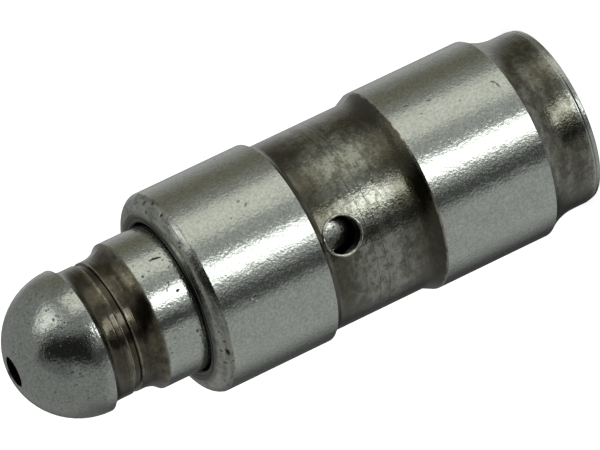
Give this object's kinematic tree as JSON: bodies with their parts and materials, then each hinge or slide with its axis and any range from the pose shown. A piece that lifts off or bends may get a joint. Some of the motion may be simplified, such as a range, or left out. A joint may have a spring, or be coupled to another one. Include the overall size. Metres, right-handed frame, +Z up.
{
  "type": "hydraulic tappet",
  "caption": "Pivot-type hydraulic tappet: a ground steel cup with an oil groove and a spring-loaded, ball-ended plunger that takes up valve clearance.",
  "frame": {"origin": "centre of the housing's flat rear face, on which the tappet stands", "axes": "+Z up the tappet's axis towards the ball head; -Y through the oil feed hole"},
  "size_m": [0.012, 0.012, 0.0348],
  "materials": {
    "housing_steel": "ground lands, oiled black-brown oxide in the groove and on the collar",
    "plunger_steel": "ground stem and ball, brown oxide on the neck",
    "piston_steel": "ground",
    "pressed_sheet": "pressed, bright",
    "ball_steel": "polished",
    "spring_wire": "drawn wire, oiled",
    "ring_wire": "dark oiled wire"
  },
  "bodies": {
    "housing": {"housing": "housing_steel", "retaining_ring": "ring_wire", "plunger_spring": "spring_wire"},
    "piston": {"lower_plunger": "piston_steel", "ball_retainer": "pressed_sheet", "check_ball_spring": "spring_wire"},
    "ball_plunger": {"ball_plunger": "plunger_steel"},
    "check_ball": {"check_ball": "ball_steel"}
  },
  "joints": [
    {"name": "plunger_stroke", "type": "slide", "parent": "housing", "child": "piston", "axis": [0, 0, -1], "range_m": [0, 0.003], "stiffness_N_per_m": 1500, "springref_m": -0.006, "deforming": ["plunger_spring"]},
    {"name": "ball_plunger_spin", "type": "hinge", "parent": "piston", "child": "ball_plunger", "pos_m": [0, 0, 0.01326], "axis": [0, 0, 1], "continuous": true},
    {"name": "check_ball_lift", "type": "slide", "parent": "piston", "child": "check_ball", "axis": [0, 0, -1], "range_m": [0, 0.00025], "stiffness_N_per_m": 30, "springref_m": -0.0005, "deforming": ["check_ball_spring"]}
  ]
}
